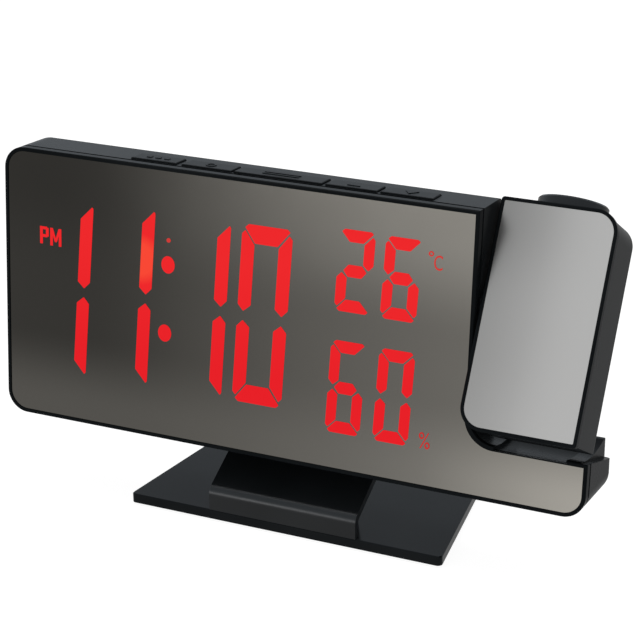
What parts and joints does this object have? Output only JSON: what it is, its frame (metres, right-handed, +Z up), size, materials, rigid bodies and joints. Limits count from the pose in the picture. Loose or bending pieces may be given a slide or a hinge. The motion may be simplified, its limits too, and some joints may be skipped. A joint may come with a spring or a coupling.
{
  "type": "projection alarm clock",
  "caption": "Leaning mirror-front digital alarm clock on a tapered stand, with a tilting projector arm set in a corner notch and keys along the top.",
  "frame": {"origin": "middle of the underside of the whole object, on the surface that its feet stand on", "axes": "+X to the right along the display, +Y to the back, +Z up; the display faces -Y and leans back"},
  "size_m": [0.195, 0.0758, 0.1147],
  "materials": {
    "satin_black": "satin moulded",
    "gloss_black": "semi-gloss moulded",
    "smoked_mirror": "half-silvered smoked acrylic",
    "rubber": "matte",
    "steel": "zinc plated",
    "brass": "turned",
    "white_plastic": "moulded",
    "circuit_board": "solder mask",
    "speaker_metal": "satin",
    "lens_glass": "polished",
    "lit_red": "lit"
  },
  "bodies": {
    "clock": {"base_plate": "gloss_black", "feet": "rubber", "base_screws": "steel", "neck": "satin_black", "front_frame": "satin_black", "front_mirror": "smoked_mirror", "casing": "satin_black", "casing_screws": "steel", "segment_reflector": "white_plastic", "display_board": "circuit_board", "main_board": "circuit_board", "board_screws": "steel", "power_inlet": "steel", "speaker": "speaker_metal", "cell_holder": "satin_black", "coin_cell": "steel", "cell_cover": "satin_black", "key_board": "circuit_board", "key_switches": "satin_black", "neck_screws": "steel"},
    "projector_arm": {"arm_front": "satin_black", "arm_mirror": "smoked_mirror", "arm_casing": "satin_black", "arm_screws": "steel", "pivot_tube": "satin_black", "friction_washer": "steel", "pivot_nut": "brass", "optics_tube": "satin_black", "led_board": "circuit_board", "projector_led": "lit_red", "condenser_lens": "lens_glass", "image_slide": "lens_glass"},
    "focus_ring": {"focus_ring": "gloss_black"},
    "lens_barrel": {"lens_barrel": "satin_black", "projection_lens": "lens_glass"},
    "key_mode": {"key_mode": "satin_black"},
    "key_alarm": {"key_alarm": "satin_black"},
    "key_snooze": {"key_snooze": "satin_black"},
    "key_up": {"key_up": "satin_black"},
    "key_down": {"key_down": "satin_black"}
  },
  "joints": [
    {"name": "arm_tilt", "type": "hinge", "parent": "clock", "child": "projector_arm", "pos_m": [0, -0.01022, 0.07805], "axis": [-1, 0, 0], "range_deg": [-25, 150]},
    {"name": "focus_turn", "type": "hinge", "parent": "projector_arm", "child": "focus_ring", "pos_m": [0.0798, 0.00805, 0.1097], "axis": [0, 0.5, 0.866], "range_deg": [-90, 90]},
    {"name": "lens_travel", "type": "slide", "parent": "projector_arm", "child": "lens_barrel", "axis": [0, 0.5, 0.866], "range_m": [-0.001, 0.001]},
    {"name": "press_mode", "type": "slide", "parent": "clock", "child": "key_mode", "axis": [0, -0.0872, -0.9962], "range_m": [0, 0.0006], "stiffness_N_per_m": 400},
    {"name": "press_alarm", "type": "slide", "parent": "clock", "child": "key_alarm", "axis": [0, -0.0872, -0.9962], "range_m": [0, 0.0006], "stiffness_N_per_m": 400},
    {"name": "press_snooze", "type": "slide", "parent": "clock", "child": "key_snooze", "axis": [0, -0.0872, -0.9962], "range_m": [0, 0.0006], "stiffness_N_per_m": 400},
    {"name": "press_up", "type": "slide", "parent": "clock", "child": "key_up", "axis": [0, -0.0872, -0.9962], "range_m": [0, 0.0006], "stiffness_N_per_m": 400},
    {"name": "press_down", "type": "slide", "parent": "clock", "child": "key_down", "axis": [0, -0.0872, -0.9962], "range_m": [0, 0.0006], "stiffness_N_per_m": 400}
  ],
  "couplings": [
    {"joint": "focus_turn", "follows": "lens_travel", "rad_per_m": 1570}
  ]
}
